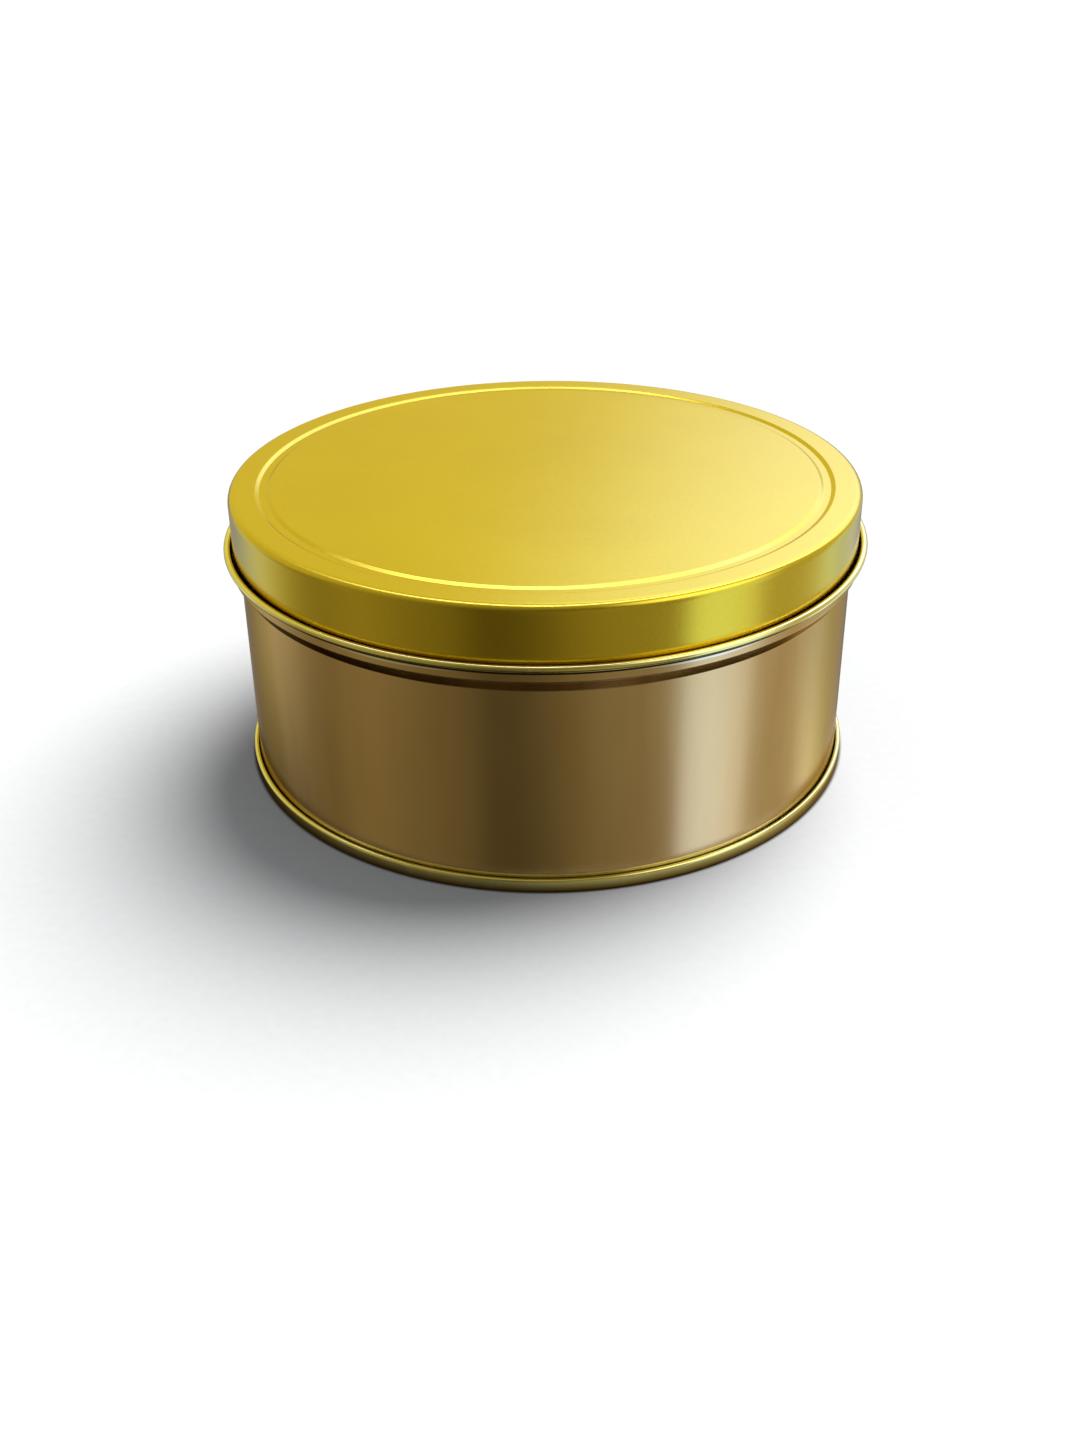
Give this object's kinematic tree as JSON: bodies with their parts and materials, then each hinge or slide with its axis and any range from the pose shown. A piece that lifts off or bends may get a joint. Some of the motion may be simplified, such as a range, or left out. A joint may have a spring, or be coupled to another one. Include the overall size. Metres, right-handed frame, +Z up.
{
  "type": "round cookie tin with lift-off lid",
  "caption": "Shallow round tinplate cookie tin: lift-off slip lid with a pressed ring, outward-curled rim around it, inner neck ring and double-seamed bottom. Stores biscuits.",
  "frame": {"origin": "middle of the base, at the height of the surface it stands on", "axes": "+Z up along the tin's axis, towards the lid; -Y is the front, and the side seam is about 24 degrees from it towards -X"},
  "size_m": [0.1996, 0.1996, 0.089],
  "materials": {
    "body_print": "satin bronze-gold print over tinplate, with a bare bright margin and a gold rim curl",
    "inside_lacquer": "clear gold lacquer over tinplate, glossy",
    "base_lacquer": "clear gold lacquer over tinplate, glossy",
    "seam_compound": "matt sealing compound",
    "lid_lacquer": "satin yellow-gold lacquer over tinplate"
  },
  "bodies": {
    "tin": {"body_wall": "body_print", "neck_ring": "inside_lacquer", "bottom_end": "base_lacquer", "seam_compound": "seam_compound"},
    "lid": {"lid": "lid_lacquer"}
  },
  "joints": [
    {"name": "lid_lift", "type": "slide", "parent": "tin", "child": "lid", "axis": [0, 0, 1], "range_m": [0, 0.12]}
  ]
}
